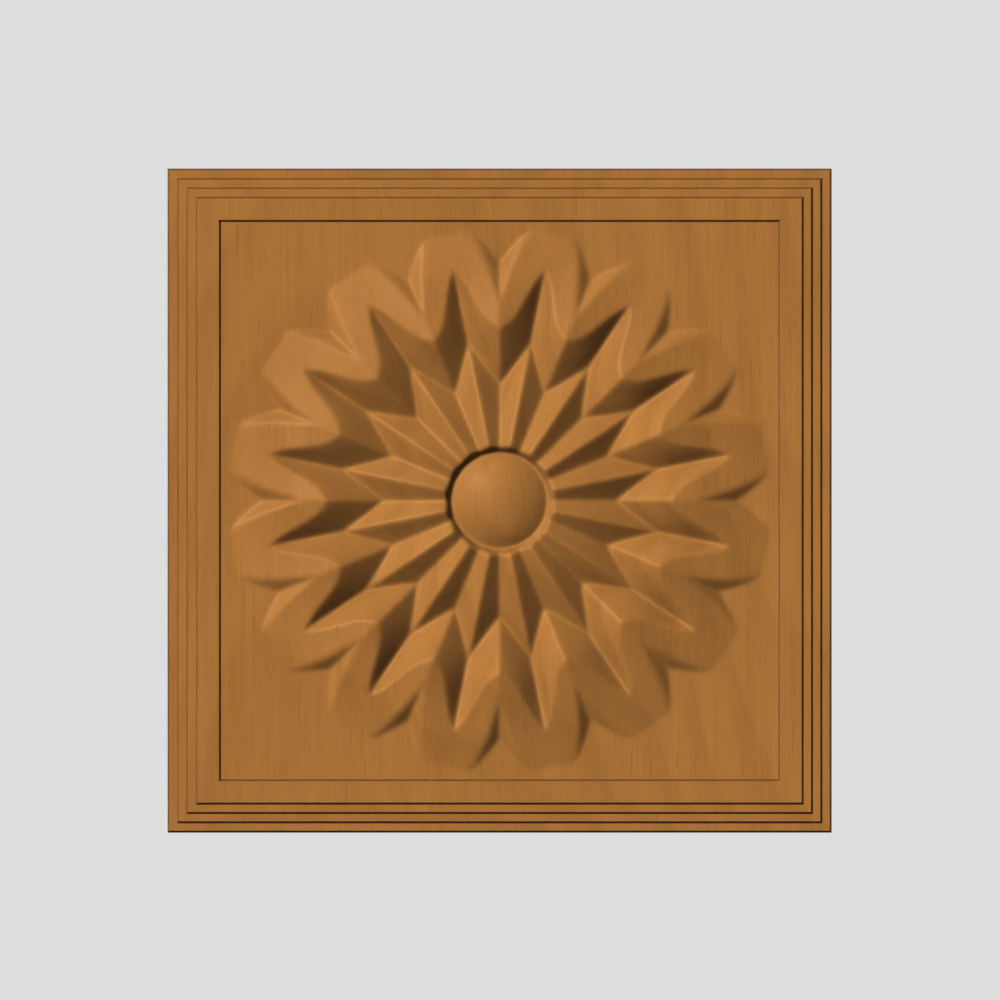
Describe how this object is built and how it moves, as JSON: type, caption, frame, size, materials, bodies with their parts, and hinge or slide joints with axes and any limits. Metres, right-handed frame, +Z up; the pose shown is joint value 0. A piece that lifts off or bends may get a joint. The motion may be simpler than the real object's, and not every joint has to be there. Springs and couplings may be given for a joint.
{
  "type": "carved wooden corner applique",
  "caption": "Square carved wooden corner block: stepped ledges and a flat band round a sunken field that holds a petalled rosette with a central dome.",
  "frame": {"origin": "centre of the flat back face, which lies against the wall or casing", "axes": "+Z up, +X to the right as seen from the front, +Y into the wall, so the carved face looks along -Y"},
  "size_m": [0.09, 0.012, 0.09],
  "materials": {
    "wood": "satin"
  },
  "bodies": {
    "root": {"rosette_block": "wood"}
  },
  "joints": []
}
